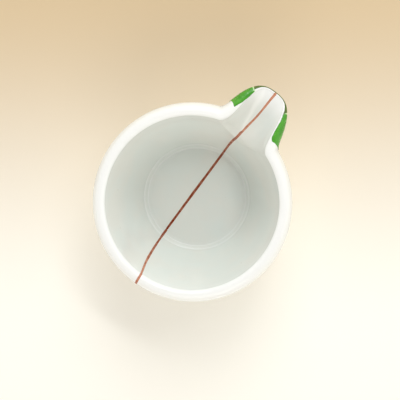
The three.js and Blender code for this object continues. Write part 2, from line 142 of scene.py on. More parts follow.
INNER_WALL = [
    (FLOOR_RADIUS + FLOOR_FILLET / 2, FLOOR_LEVEL + FLOOR_FILLET),
    ((FLOOR_RADIUS + RIM_INNER) / 2 + 2 * WALL_BOW, (FLOOR_LEVEL + INNER_BASE) / 2),
    (RIM_INNER, INNER_BASE),
]
FILLET = [
    (FLOOR_RADIUS - FLOOR_FILLET, FLOOR_LEVEL),
    (FLOOR_RADIUS - FLOOR_FILLET / 4, FLOOR_LEVEL),
    INNER_WALL[0],
]
OUTER_WALL = [
    (BOWL_RADIUS, OUTER_BASE),
    (BOWL_RADIUS, mix(OUTER_BASE, FOOT_HEIGHT, 0.2)),
    (mix(BOWL_RADIUS, FOOT_RADIUS, 0.44), mix(OUTER_BASE, FOOT_HEIGHT, 0.75)),
    (FOOT_RADIUS, FOOT_HEIGHT),
]
S_FLOOR, S_FILLET = 0.3, 0.4
FLAT_RADIUS = FILLET[0][0]


def inner_profile(s):
    """Radius and height inside: the flat floor, then the fillet, then the wall."""
    floor = np.stack([FLAT_RADIUS * s / S_FLOOR, np.full_like(s, FLOOR_LEVEL)], -1)
    fillet = bezier(FILLET, (s - S_FLOOR) / (S_FILLET - S_FLOOR))
    wall = bezier(INNER_WALL, (s - S_FILLET) / (1 - S_FILLET))
    s = s[..., None]
    return np.where(s <= S_FLOOR, floor, np.where(s <= S_FILLET, fillet, wall))


def radius_at(handles, z):
    """Radius of a wall at a height, read off a finely sampled curve."""
    points = bezier(handles, np.linspace(0, 1, 2001))
    return points[np.argmin(np.abs(points[:, 1] - z)), 0]


CHANNEL_RUN = CHANNEL_END - radius_at(INNER_WALL, INNER_BASE - CHANNEL_DEPTH)
UNDERSIDE_RUN = SPOUT_REACH - radius_at(OUTER_WALL, OUTER_BASE - SPOUT_DEPTH)
print("the channel runs", round(CHANNEL_RUN, 4), "and the underside", round(UNDERSIDE_RUN, 4))

# %% [markdown]
# The spout is part of the same surface. Seen from above, each level of the bowl is a
# circle, and a tongue grows out of it near the lip. A superellipse gives the tongue a
# blunt end with one formula, and a smooth maximum joins it to the circle with a fillet,
# as a wet thumb does.


# %% Level outlines
def smooth_max(a, b, k):
    """The larger of a and b, with a fillet of size k where they are nearly equal."""
    h = np.maximum(k - np.abs(a - b), 0)
    return np.maximum(a, b) + h * h / (4 * k)


def smoothstep(x, low, high):
    """0 below low, 1 above high, and an S-shaped cubic between."""
    t = np.clip((x - low) / (high - low), 0, 1)
    return t * t * (3 - 2 * t)


def narrowing(depth):
    """Width of an ellipse at a depth, both as shares of the greatest."""
    return np.sqrt(np.maximum(1 - depth * depth, 0))


def outline(theta, radius, length, width, exponent, fillet):
    """Distance from the axis to a circle joined to a superellipse tongue, at theta."""
    ahead = (np.cos(theta) > 0) & (length > 0) & (width > 0)
    length, width = np.where(ahead, length, 1.0), np.where(ahead, width, 1.0)
    along = np.abs(np.cos(theta) / length) ** exponent
    across = np.abs(np.sin(theta) / width) ** exponent
    tongue = (along + across) ** (-1 / exponent)
    return np.where(ahead, smooth_max(radius, tongue, fillet), radius)


def inner_radius(theta, wall, depth):
    """The inside's outline at a depth, as a share of the channel's depth."""
    length = CHANNEL_END - CHANNEL_RUN * np.maximum(depth, 0) ** CHANNEL_DRAW_BACK
    width = CHANNEL_WIDTH * narrowing(depth / CHANNEL_ROUNDING)
    deep = np.clip(depth, 0, 1)
    exponent = mix(CHANNEL_EXPONENT, CHANNEL_FLOOR_EXPONENT, deep)
    fillet = mix(CHANNEL_FILLET, ROOT_FILLET, deep)
    return outline(theta, wall, length, width, exponent, fillet)


def outer_radius(theta, wall, depth):
    """The outside's outline at a depth, as a share of the spout's depth."""
    length = SPOUT_REACH - UNDERSIDE_RUN * np.maximum(depth, 0) ** OUTER_DRAW_BACK
    width = OUTER_WIDTH * narrowing(depth / OUTER_ROUNDING)
    return outline(theta, wall, length, width, OUTER_EXPONENT, ROOT_FILLET)


ahead = np.zeros(1)
inner_reach = inner_radius(ahead, RIM_INNER, ahead)[0]
outer_reach = outer_radius(ahead, BOWL_RADIUS, ahead)[0]
print("straight ahead, the rim's edges are at", round(float(inner_reach), 4), round(float(outer_reach), 4))

# %% [markdown]
# The lip is a thick, soft roll: its crest is near the inside, and it falls away in a
# longer curve on the outside. Along the spout the wall is half as thick, and at the tip
# it is almost an edge, so the roll shrinks with the thickness. The tip dips below the
# rim, which lets the bowl pour before it spills.


# %% Lip
def turned(theta):
    """theta brought into the range from minus half a turn to half a turn."""
    return (theta + np.pi) % (2 * np.pi) - np.pi


def dip(theta):
    """How far the lip dips at the tip: all the way in the middle, nothing at the sides."""
    return TIP_DIP * (1 - smoothstep(np.abs(turned(theta)), DIP_FULL_ANGLE, DIP_START_ANGLE))


def polar(theta, radius, z):
    """Points at an angle, a distance from the axis and a height."""
    return np.stack([radius * np.cos(theta), radius * np.sin(theta), z], -1)


def lip_share(theta):
    """Wall thickness square to the lip's run, as a share of the bowl's: the cross
    product of the run's direction and the step across the wall."""
    zero = np.zeros_like(theta)

    def inside(t):
        return polar(t, inner_radius(t, RIM_INNER, zero), zero)

    def outside(t):
        return polar(t, outer_radius(t, BOWL_RADIUS, zero), zero)

    step = 1e-3
    ahead = (inside(theta + step) + outside(theta + step)) / 2
    behind = (inside(theta - step) + outside(theta - step)) / 2
    run = (ahead - behind) / np.linalg.norm(ahead - behind, axis=-1, keepdims=True)
    across = outside(theta) - inside(theta)
    width = np.abs(run[..., 0] * across[..., 1] - run[..., 1] * across[..., 0])
    return np.minimum(width / LIP, 1)


def lowering(theta, drop):
    """How far the upper wall moves down, so that a thin lip has a small roll."""
    return dip(theta) - drop * (1 - lip_share(theta))


print("at the tip the lip is", round(float(lip_share(np.zeros(1))[0]), 2), "as thick as the rim")

# %% [markdown]
# Inner wall, lip and outer wall could be three meshes sewn together, but then each seam
# would need care. Here they are one function of two numbers: s runs up the inside, over
# the lip and down the outside, and theta goes round. Every piece of clay is cut from
# this one sheet, and every brush stroke is laid on it, so they all fit each other.


# %% The whole surface
def inside_point(s, theta):
    """The inner wall with its channel, whose bottom rises to the tip."""
    radius, z = np.moveaxis(inner_profile(s), -1, 0)
    depth = (INNER_BASE - z) / CHANNEL_DEPTH
    down = lowering(theta, LIP_INNER_DROP) * np.maximum(1 - depth, 0)
    return polar(theta, inner_radius(theta, radius, depth), z - down)


def outside_point(s, theta):
    """The outer wall with the spout's underside."""
    radius, z = np.moveaxis(bezier(OUTER_WALL, s), -1, 0)
    depth = (OUTER_BASE - z) / SPOUT_DEPTH
    down = lowering(theta, LIP_OUTER_DROP) * np.maximum(1 - depth, 0)
    return polar(theta, outer_radius(theta, radius, depth), z - down)


def lip_point(s, theta):
    """A quarter ellipse up from the inside to the crest, and a taller one down again."""
    a, b = inside_point(np.ones_like(s), theta), outside_point(np.zeros_like(s), theta)
    outward = s > 0.5
    drop = lip_share(theta) * np.where(outward, LIP_OUTER_DROP, LIP_INNER_DROP)
    cos, sin = np.cos(np.pi * s), np.sin(np.pi * s)
    across = np.where(outward, LIP_CREST - (1 - LIP_CREST) * cos, LIP_CREST * (1 - cos))
    point = a + (b - a) * across[..., None]
    point[..., 2] = HEIGHT - dip(theta) - drop * (1 - sin)
    return point


def surface(s, theta):
    """The clay's surface: s is 0 to 1 inside, 1 to 2 over the lip and 2 to 3 outside."""
    s, theta = np.broadcast_arrays(np.asarray(s, float), np.asarray(theta, float))
    inner = inside_point(np.clip(s, 0, 1), theta)
    lip = lip_point(np.clip(s - 1, 0, 1), theta)
    outer = outside_point(np.clip(s - 2, 0, 1), theta)
    s = s[..., None]
    return np.where(s <= 1, inner, np.where(s < 2, lip, outer))


def normal(s, theta):
    """Direction out of the clay: the cross product of two small steps on the surface."""
    step = 1e-4
    along = surface(s + step, theta) - surface(s - step, theta)
    round_ = surface(s, theta + step) - surface(s, theta - step)
    n = np.cross(along, round_)
    return n / np.maximum(np.linalg.norm(n, axis=-1, keepdims=True), 1e-12)


tip = surface(np.array([1.5]), np.array([0.0]))[0]
print("the pouring edge is", round(HEIGHT - tip[2], 4), "below the rim, at x =", round(tip[0], 4))

# %% [markdown]
# Where is the spout joined on? On the real bowl a U-shaped notch is cut in the wall, and
# the spout's root is pressed into it with a layer of slip. Inside, the joint is the plane
# x = SEAM_X. Outside it is a U round the spout's root. Both are lines on the surface, so
# each is found as a value of s for every theta, by halving an interval until it is small.

# %% The joint's two lines
SADDLE_HALF_WIDTH = SPOUT_ROOT_WIDTH / 2 + 1.2 * MM
SADDLE_BOTTOM = OUTER_BASE - SPOUT_DEPTH - 3 * MM
SADDLE_CENTRE_Z = SADDLE_BOTTOM + SADDLE_HALF_WIDTH


def halving(is_beyond, low, high):
    """For whole arrays at once: the value between low and high where the test turns true."""
    for _ in range(36):
        middle = (low + high) / 2
        beyond = is_beyond(middle)
        low, high = np.where(beyond, low, middle), np.where(beyond, middle, high)
    return (low + high) / 2


def corner_angle(shift):
    """The angle where the two lines meet on the lip, with the spout's part shrunk by shift."""
    return math.atan2(SADDLE_HALF_WIDTH - shift, SEAM_X + shift)


def joint_inside(theta, shift):
    """s where the inner surface reaches x = SEAM_X + shift."""
    low = np.full_like(theta, S_FILLET)
    return halving(lambda s: surface(s, theta)[..., 0] > SEAM_X + shift, low, low * 0 + 1.99)


def joint_outside(theta, shift, start):
    """s where the outer surface leaves the U: its distance from the U's middle line, or
    from the centre of its round bottom, passes the half-width less shift."""

    def beyond(s):
        x, y, z = np.moveaxis(surface(s, theta), -1, 0)
        away = np.hypot(y, np.minimum(z - SADDLE_CENTRE_Z, 0))
        return away > SADDLE_HALF_WIDTH - shift

    return halving(beyond, start, np.full_like(theta, 3.0))


def joint_lines(theta, shift):
    """Both lines at theta. Past the corner they are one value, so the notch is closed."""
    edge = corner_angle(shift)
    inside_notch = np.clip(theta, -edge, edge)
    first = joint_inside(inside_notch, shift)
    second = np.maximum(joint_outside(inside_notch, shift, first), first)
    meeting = joint_inside(np.array([edge]), shift)[0]
    past = np.abs(theta) >= edge
    return np.where(past, meeting, first), np.where(past, meeting, second)


print("the joint's corners are at", round(math.degrees(corner_angle(0)), 1), "degrees")

# %% [markdown]
# A mesh is a grid of points joined into four-sided faces. One helper makes every piece
# here. It can close the grid round on itself, and it merges points that lie on each
# other, so the poles and the notch's corners are closed without any special case.
# A piece whose volume comes out negative is inside out, so its faces are turned round.


# %% Grid to mesh
SAME_POINT = 2e-7


def grid_faces(rows, columns, wrap_rows, wrap_columns):
    """Corner numbers of every face of the grid, as one array."""
    i = np.arange(rows if wrap_rows else rows - 1)[:, None]
    j = np.arange(columns if wrap_columns else columns - 1)[None, :]
    down, right = (i + 1) % rows, (j + 1) % columns
    corners = [i * columns + j, down * columns + j, down * columns + right, i * columns + right]
    return np.stack([c + 0 * (i + j) for c in corners], -1).reshape(-1, 4)


def make_piece(
    name, points, uv=None, wrap_rows=False, wrap_columns=False, sharp=50, layer="stroke"
):
    """A closed, smooth-shaded mesh object from a grid of points, with creases kept where
    faces meet at more than `sharp` degrees."""
    rows, columns = points.shape[:2]
    faces = grid_faces(rows, columns, wrap_rows, wrap_columns)
    mesh = bpy.data.meshes.new(name)
    mesh.from_pydata(points.reshape(-1, 3), [], faces)
    if uv is not None:
        places = mesh.uv_layers.new(name=layer)
        places.data.foreach_set("uv", uv.reshape(-1, 2)[faces.ravel()].ravel())
    solid = bmesh.new()
    solid.from_mesh(mesh)
    bmesh.ops.remove_doubles(solid, verts=solid.verts, dist=SAME_POINT)
    bmesh.ops.dissolve_degenerate(solid, edges=solid.edges, dist=SAME_POINT)
    open_edges = sum(not e.is_manifold for e in solid.edges)
    volume = solid.calc_volume(signed=True)
    if volume < 0:
        bmesh.ops.reverse_faces(solid, faces=solid.faces)
    solid.to_mesh(mesh)
    solid.free()
    mesh.polygons.foreach_set("use_smooth", np.ones(len(mesh.polygons), bool))
    mesh.set_sharp_from_angle(angle=math.radians(sharp))
    mesh.validate()
    piece = bpy.data.objects.new(name, mesh)
    bpy.context.scene.collection.objects.link(piece)
    print(f"{name}: {len(mesh.polygons)} faces, {open_edges} open edges, {volume * 1e6:.3f} cm3")
    return piece


def placed(points):
    """Points measured from the bowl's axis, moved to where the bowl stands."""
    return points + np.array([AXIS_X, 0, 0])


FORM_SPAN = 4


def form_uv(s, theta):
    """A UV map that tells the glaze where it is: s / FORM_SPAN, and the share of a turn."""
    return np.stack(np.broadcast_arrays(turned(theta) / (2 * np.pi) + 0.5, s / FORM_SPAN), -1)


# %% [markdown]
# Thrown porcelain isn't perfect. The wall waves by less than a tenth of a millimetre,
# a throwing tool leaves a shallow double ring round the edge of the floor, and glaze
# pools in a soft dent along the joint. These are real shape, not paint, so the surface
# itself moves along its normal. The waves are sums of sines, so they close round the
# bowl and are the same in every piece that shares the surface. The spout was also
# pressed on by hand, and its tip leans a little to the left.


# %% Small shapes in the clay
RING_RADII = (20.9 * MM, 22.3 * MM)
RING_DEPTH = 0.2 * MM
RING_WIDTH = 0.42 * MM
DENT_DEPTH = 0.12 * MM
DENT_WIDTH = 0.45 * MM
LEAN, LEAN_FROM, LEAN_TO = 0.5 * MM, 36 * MM, 54 * MM
SPIRAL_HEIGHT, SPIRAL_TURNS = 0.018 * MM, 5.5
UNEVEN_HEIGHT = 0.035 * MM


def bump_at(x, centre, width):
    """A bell: 1 at the centre, falling off over `width` on both sides."""
    return np.exp(-(((x - centre) / width) ** 2))


def hand_waves(s, theta):
    """Height of the slow waves: a throwing spiral of SPIRAL_TURNS up the inner wall, and
    an uneven lip with three and five waves to the turn."""
    on_wall = smoothstep(s, 0.42, 0.6) * smoothstep(-s, -1.0, -0.85)
    spiral = np.sin(2 * np.pi * SPIRAL_TURNS * s + theta) * on_wall
    uneven = np.sin(3 * theta + 0.6) + 0.6 * np.sin(5 * theta + 2.1 + 3 * s)
    return SPIRAL_HEIGHT * spiral + UNEVEN_HEIGHT * uneven * smoothstep(s, 0.5, 1)


def clay(s, theta):
    """The surface moved along its normal by waves, rings and dent, with a leaning tip."""
    points, out = surface(s, theta), normal(s, theta)
    x, y, z = np.moveaxis(points, -1, 0)
    radius = np.hypot(x, y)
    inside = smoothstep(-s, -0.6, -0.5)
    rings = sum(bump_at(radius, r, RING_WIDTH) for r in RING_RADII) * inside
    channel = smoothstep(-s, -1.15, -0.85) * smoothstep(-np.abs(y), -9 * MM, -6 * MM)
    dent = bump_at(x, SEAM_X, DENT_WIDTH) * channel * smoothstep(y, -4 * MM, 5 * MM)
    height = hand_waves(s, theta) - RING_DEPTH * rings - DENT_DEPTH * dent
    points = points + out * height[..., None]
    points[..., 1] += LEAN * smoothstep(x, LEAN_FROM, LEAN_TO)
    return points


sample = clay(np.array([1.36]), np.array([np.pi]))[0]
print("the far rim is", round(sample[2], 4), "high")

# %% [markdown]
# The bowl itself: one sheet of clay from the middle of the floor, over the lip, down to
# the foot and back under to the middle. The columns are closer together near the spout,
# where the shape changes fastest. In the columns that meet the notch, the rows jump
# across it, which makes the notch's cut face.

# %% Bowl
NOTCH_SHIFT, ROOT_SHIFT = -0.3 * MM, 0.3 * MM
SPOUT_COLUMNS, BOWL_COLUMNS = 200, 280
FLOOR_ROWS, FILLET_ROWS, WALL_ROWS, BACK_ROWS, FOOT_ROWS, UNDER_ROWS = 10, 44, 66, 60, 12, 8
S_WALL, S_BACK = 0.46, 2.62


def spaced(start, stop, count, ease=0.0):
    """Evenly spaced values, or with ease > 0 closer together at both ends."""
    t = np.linspace(0, 1, count)
    t = t - ease * np.sin(2 * np.pi * t) / (2 * np.pi)
    return mix(start, stop, t)


def cut_angles(shift):
    """Angles across the notch, reaching its two corners."""
    edge = corner_angle(shift)
    return np.linspace(-edge, edge, SPOUT_COLUMNS)


def bowl_grid():
    """Rows of s for every column: the floor and foot are the same in all of them, and
    the stretches between run to the joint's lines."""
    edge = corner_angle(NOTCH_SHIFT)
    round_back = np.linspace(edge, 2 * np.pi - edge, BOWL_COLUMNS)[1:-1]
    theta = np.concatenate([cut_angles(NOTCH_SHIFT), round_back])[None, :]
    first, second = joint_lines(turned(theta[0]), NOTCH_SHIFT)
    flat, fillet = spaced(0, 0.26, FLOOR_ROWS), spaced(0.268, S_WALL, FILLET_ROWS)
    floor = np.concatenate([flat, fillet])[:, None]
    wall = mix(S_WALL, first, np.linspace(0, 1, WALL_ROWS)[1:, None])
    back = mix(second, S_BACK, np.linspace(0, 1, BACK_ROWS)[:, None])
    foot = spaced(S_BACK, 3, FOOT_ROWS)[1:, None]
    s = np.concatenate([floor + 0 * theta, wall, back, foot + 0 * theta])
    points = clay(s, theta + 0 * s)
    shrink = np.linspace(1, 0, UNDER_ROWS)[1:, None, None]
    under = points[-1:] * np.array([1, 1, 0]) * shrink + np.array([0, 0, FOOT_HEIGHT])
    s = np.concatenate([s, s[-1:] + 0 * shrink[..., 0]])
    return placed(np.concatenate([points, under])), form_uv(s, theta)


bowl = make_piece("bowl", *bowl_grid(), wrap_columns=True, layer="form")

# %% [markdown]
# The spout: the part of the same surface between the two lines, closed at its back by the
# face that was pressed into the notch. Its rows run from the inside, over the thin lip
# and back under, and that leaves only the back face, which closes the rows on themselves.


# %% Spout
SPOUT_ROWS = 190


def spout_grid():
    """s runs between the joint's lines, for angles between the corners."""
    theta = cut_angles(ROOT_SHIFT)[None, :]
    first, second = joint_lines(theta[0], ROOT_SHIFT)
    s = mix(first, second, np.linspace(0, 1, SPOUT_ROWS)[:, None])
    return placed(clay(s, theta + 0 * s)), form_uv(s, theta)


spout = make_piece("spout", *spout_grid(), wrap_rows=True, layer="form")


# %% [markdown]
# The slip between them is a thin U-shaped plate. Only its edges are seen, flush with the
# glazed surface, as the faint crease across the channel. Its rows go round the plate:
# along the inner edge, through the joint, along the outer edge and back.


# %% Joint slip
SLIP_ROWS = 7


def slip_grid():
    """Rows from line to line round the plate, in columns that reach the wider corners."""
    theta = cut_angles(NOTCH_SHIFT)[None, :]
    wide_in, wide_out = joint_lines(theta[0], NOTCH_SHIFT)
    root_in, root_out = joint_lines(theta[0], ROOT_SHIFT)
    root_in, root_out = (np.clip(line, wide_in, wide_out) for line in (root_in, root_out))
    across = np.linspace(0, 1, SLIP_ROWS)[:, None]
    s = np.concatenate([mix(wide_in, root_in, across), mix(root_out, wide_out, across)])
    return placed(clay(s, theta + 0 * s)), form_uv(s, theta)


joint_slip = make_piece("joint_slip", *slip_grid(), wrap_rows=True, layer="form")

# %% [markdown]
# The foot ring is turned on the wheel: a profile carried round a circle. Its tread, the
# narrow face that stands on the table, is wiped clean of glaze so that the bowl doesn't
# stick in the kiln. The profile has round edges, made as quarter circles.

# %% Foot ring
FOOT_WIDTH, FOOT_TAPER, FOOT_EDGE = 4.2 * MM, 0.8 * MM, 0.5 * MM
FOOT_FLARE, FOOT_FLARE_DROP, FOOT_OVERLAP = 0.1 * MM, 1.6 * MM, 0.05 * MM
FOOT_COLUMNS, TREAD_WOBBLE = 256, 0.0012


def foot_profile():
    """Radius and height round the ring's section, with a fillet where it meets the bowl."""
    bottom_out, bottom_in = FOOT_RADIUS - FOOT_TAPER, FOOT_RADIUS - FOOT_WIDTH + FOOT_TAPER
    top = FOOT_HEIGHT + FOOT_OVERLAP
    flare = top - FOOT_FLARE_DROP
    turn = np.linspace(0, np.pi / 2, 8)
    outer_edge = np.stack(
        [bottom_out - FOOT_EDGE * (1 - np.cos(turn)), FOOT_EDGE * (1 - np.sin(turn))], -1
    )
    inner_edge = np.stack(
        [bottom_in + FOOT_EDGE * (1 - np.sin(turn)), FOOT_EDGE * (1 - np.cos(turn))], -1
    )
    outside = bezier(
        [(FOOT_RADIUS, top), (bottom_out + FOOT_FLARE, flare), (bottom_out, FOOT_EDGE)],
        np.linspace(0, 1, 14)[:-1],
    )
    inside = bezier(
        [(bottom_in, FOOT_EDGE), (bottom_in - FOOT_FLARE, flare), (FOOT_RADIUS - FOOT_WIDTH, top)],
        np.linspace(0, 1, 14)[1:],
    )
    lid = np.linspace([FOOT_RADIUS - FOOT_WIDTH, top], [FOOT_RADIUS, top], 6)[1:-1]
    return np.concatenate([outside, outer_edge, inner_edge, inside, lid])


def foot_grid():
    """The profile turned round the axis, with a slightly uneven tread."""
    profile = foot_profile()[:, None]
    theta = np.linspace(0, 2 * np.pi, FOOT_COLUMNS + 1)[None, :-1]
    near_tread = smoothstep(-profile[..., 1], -4 * MM, 0)
    wobble = 1 + TREAD_WOBBLE * np.sin(3 * theta + 1) * near_tread
    return placed(polar(theta, profile[..., 0] * wobble, profile[..., 1] + 0 * theta))


foot = make_piece("foot", foot_grid(), wrap_rows=True, wrap_columns=True)

# %% [markdown]
# The painting is overglaze enamel: coloured glass, brushed on the fired glaze and melted
# at a lower heat, so each stroke stands up a little and has soft, rounded edges. A
# stroke is a flat tube laid on the surface. Its section is an ellipse cut at the glaze,
# its width follows the pressure of the brush, and it falls to nothing at both ends, which
# closes the tube. The UV map runs along the stroke and across it, so the material can
# thin out at the edges.

# %% Brush strokes
SUNK = 0.06 * MM
STROKE_SIDES = 32


def on_line(reach, y):
    """s and theta of a point on the painted line. reach is s, with a minus sign on the
    side away from the spout, and y is the distance to the left."""
    s = np.hypot(reach, S_FLOOR * y / FLAT_RADIUS)
    middle = surface(np.abs(reach), np.where(reach < 0, np.pi, 0.0))
    return s, np.arctan2(y, middle[..., 0])


def stroke_piece(name, place, height, along):
    """A tube on the surface. place gives s and theta, and height the paint's thickness,
    for a share `along` of the length and a share from -1 to 1 across."""
    turn = np.linspace(0, 2 * np.pi, STROKE_SIDES + 1)[None, :-1]
    t = along[:, None]
    across, up = np.cos(turn), np.sin(turn)
    s, theta = place(t, across)
    paint = np.where(up > 0, height(t, across) * np.sqrt(np.abs(up)), SUNK * up)
    points = clay(s, theta) + normal(s, theta) * paint[..., None]
    uv = np.stack(np.broadcast_arrays(t, 0.5 + 0.5 * across), -1)
    return make_piece(name, placed(points), uv=uv, wrap_columns=True, sharp=80)


def round_ends(t, share):
    """1 along a stroke, and a quarter circle over the last share of it at both ends."""
    near = np.clip(np.minimum(t, 1 - t) / share, 0, 1)
    return np.sqrt(np.maximum(near * (2 - near), 0))


def waver(t, seed, size):
    """A small, slow irregularity along a stroke, as a sum of sines."""
    a = np.sin(9.1 * t + seed) + 0.6 * np.sin(23.7 * t + 2.3 * seed) + 0.3 * np.sin(61 * t + seed)
    return size * a


# %% [markdown]
# The red line was painted in four strokes, each started with a loaded brush: along the
# spout, down the wall and over the floor, up the far wall, and over the rim. The line
# wanders a little to the left and kinks where the surface turns. Its course is given as
# the distance to the left at equal steps, and a smooth curve is drawn through them.

# %% Red line
LINE_WIDTH = 1.05 * MM
RED_THICKNESS = 0.1 * MM
STROKE_OVERLAP = 0.006
PRESS_WAVER, FIRST_PRESS, LOAD_WAVER = 0.07, 0.10, 0.12
ENDS_PER_REACH, LEAST_ENDS = 55, 8
channel_s = np.linspace(S_FLOOR, 1, 4001)
channel_x = surface(channel_s, np.zeros_like(channel_s))[:, 0]
S_SEAM = np.interp(SEAM_X, channel_x, channel_s)
OUTSIDE_LINE = 12 * MM
wall_points = bezier(OUTER_WALL, np.linspace(0, 1, 400))
WALL_LENGTH = np.linalg.norm(np.diff(wall_points, axis=0), axis=1).sum()

line_reach = np.linspace(1.8, -3, 6001)
line_points = surface(np.abs(line_reach), np.where(line_reach < 0, np.pi, 0.0))
line_steps = np.linalg.norm(np.diff(line_points, axis=0), axis=1)
line_run = np.concatenate([[0], np.cumsum(line_steps)])


def reach_between(start, end, t):
    """The reach a share t of the way along the surface from one reach to another."""
    run = np.interp([-start, -end], -line_reach, line_run)
    return np.interp(mix(run[0], run[1], t), line_run, line_reach)


def smooth_through(values, t):
    """A curve through values at equal steps: straight runs, rounded by averaging nearby."""
    steps = np.linspace(0, 1, len(values))
    near = np.linspace(-0.09, 0.09, 9)
    return np.mean([np.interp(t + d, steps, values) for d in near], axis=0)


def red_stroke(name, start, end, course, seed, width=1.0):
    """A stroke from one reach to another. course is its distance to the left in mm. Its
    width follows the pressure of the brush, and its thickness follows its width."""
    course = np.array(course) * MM
    end_share = 1 / max(abs(end - start) * ENDS_PER_REACH, LEAST_ENDS)

    def half_width(t):
        press = 1 + waver(t, seed, PRESS_WAVER) + FIRST_PRESS * bump_at(t, 0.06, 0.08)
        return LINE_WIDTH / 2 * width * press * round_ends(t, end_share)

    def place(t, across):
        left = smooth_through(course, t) + across * half_width(t)
        return on_line(reach_between(start, end, t), left)

    def height(t, across):
        load = 0.75 + waver(t, seed + 1, LOAD_WAVER)
        return RED_THICKNESS * load * (half_width(t) / LINE_WIDTH + 0.3)

    return stroke_piece(name, place, height, spaced(0, 1, 150, 0.7))


red_spout = red_stroke(
    "red_line_spout", 1.76, S_SEAM - 0.002, [-0.2, 0.0, 0.2, 0.6, 1.3, 1.7], 0.4, 0.82
)
red_floor = red_stroke(
    "red_line_floor", S_SEAM + 0.012, -S_FLOOR - STROKE_OVERLAP,
    [1.6, 2.75, 2.75, 2.5, 2.3, 2.05, 1.75], 1.7,
)
red_far_wall = red_stroke(
    "red_line_far_wall", -S_FLOOR + STROKE_OVERLAP, -1.05, [1.75, 1.2, 0.3, -1.4], 2.9, 0.95
)
red_outside = red_stroke(
    "red_line_outside", -1.02, -2 - OUTSIDE_LINE / WALL_LENGTH, [-1.3, -2.0, -2.1, -2.4], 4.1, 0.95
)

# %% [markdown]
# Green enamel covers the lip on both sides of the spout, and a thinner line of it runs
# round the tip's outer edge. A patch is a stroke between two edges. The outer one is the
# lip's own, and the inner one is drawn as it looks from above, so each of its points is
# looked up on the lip. The left patch starts with a blunt, slanted end and the right one
# with a point. Green flows more than red, so it is thicker and pools at its edges.

# %% Green enamel
GREEN_THICKNESS = 0.2 * MM
TIP_WIDTH, TIP_BAND_REACH = 1.0 * MM, 3.7 * MM
S_OUTER_EDGE = 2.02


def outer_angle(x):
    """The angle at which the lip's outer edge reaches x."""
    theta = np.linspace(0, corner_angle(0), 4001)
    edge = surface(np.full_like(theta, 2.0), theta)[:, 0]
    return np.interp(-x, -edge, theta)


def on_lip(x, y):
    """s and theta of the place on the lip that is seen at x, y from straight above."""
    theta, radius = np.arctan2(y, x), np.hypot(x, y)

    def beyond(s):
        point = surface(s, theta)
        return np.hypot(point[..., 0], point[..., 1]) > radius

    return halving(beyond, np.full_like(theta, 0.9), np.full_like(theta, 2.0)), theta


def green_stroke(name, inner, outer, seed, thickness=1.0):
    """A patch between two edges. inner and outer give s and theta for a share of the
    length, and the ends are rounded by drawing the edges together."""

    def place(t, across):
        near, far = inner(t), outer(t)
        near = (near[0] + waver(t, seed, 0.012), near[1])
        share = 0.5 + 0.5 * across * round_ends(t, 0.03)
        return mix(near[0], far[0], share), mix(near[1], far[1], share)

    def height(t, across):
        pooled = 0.75 + 0.25 * np.abs(across) ** 3 + waver(t, seed + 1, 0.06)
        return GREEN_THICKNESS * thickness * pooled * (0.25 + 0.75 * round_ends(t, 0.1))

    return stroke_piece(name, place, height, spaced(0, 1, 130, 0.6))


def green_patch(name, side, inner_x, inner_y, outer_x, seed):
    """A patch on one side of the spout (1 left, -1 right), in mm from the axis. Its inner
    edge is drawn in plan, from one x to another through the distances inner_y from the
    middle, and its outer edge is the lip's, between the two values of outer_x."""

    def inner(t):
        x = mix(inner_x[0], inner_x[1], t) * MM
        return on_lip(x, side * smooth_through(np.array(inner_y) * MM, t))

    def outer(t):
        angle = outer_angle(mix(outer_x[0], outer_x[1], t) * MM)
        return S_OUTER_EDGE + 0 * t, side * angle

    return green_stroke(name, inner, outer, seed)


def tip_band():
    """A band round the tip's outer edge, wider at its two ends."""
    end = outer_angle(SPOUT_REACH - TIP_BAND_REACH)

    def edge(middle, widening):
        return lambda t: (middle - widening * (2 * t - 1) ** 4 + 0 * t, mix(end, -end, t))

    outer = edge(2 + TIP_WIDTH / SPOUT_DEPTH, 0.0)
    return green_stroke("green_tip_band", edge(1.72, 0.2), outer, 3.1, 0.9)


green_left = green_patch(
    "green_patch_left", 1, (40.1, 51.0), (10.0, 8.6, 7.5, 6.8), (40.4, 51.3), seed=0.9
)
green_right = green_patch(
    "green_patch_right", -1, (40.2, 51.0), (9.1, 8.6, 8.2, 7.4), (37.4, 51.3), seed=2.2
)
green_tip = tip_band()

# %% [markdown]
# Every piece stands for its CAD node, rides on the body and has its finish listed
# beside it.

# %% Pieces and their nodes
PIECES = {
    "bowl_body": (bowl, "porcelain_glaze"),
    "foot_ring": (foot, "foot_clay"),
    "pouring_spout": (spout, "porcelain_glaze"),
    "spout_joint_slip": (joint_slip, "joint_slip"),
    "red_line_spout": (red_spout, "red_enamel"),
    "red_line_floor": (red_floor, "red_enamel"),
    "red_line_far_wall": (red_far_wall, "red_enamel"),
    "red_line_outside": (red_outside, "red_enamel"),
    "green_patch_left": (green_left, "green_enamel"),
    "green_patch_right": (green_right, "green_enamel"),
    "green_tip_band": (green_tip, "green_enamel"),
}
for node, (piece, finish) in PIECES.items():
    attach(piece, "root")
    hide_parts(node)
print("pieces:", len(PIECES), "for nodes:", len(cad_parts))
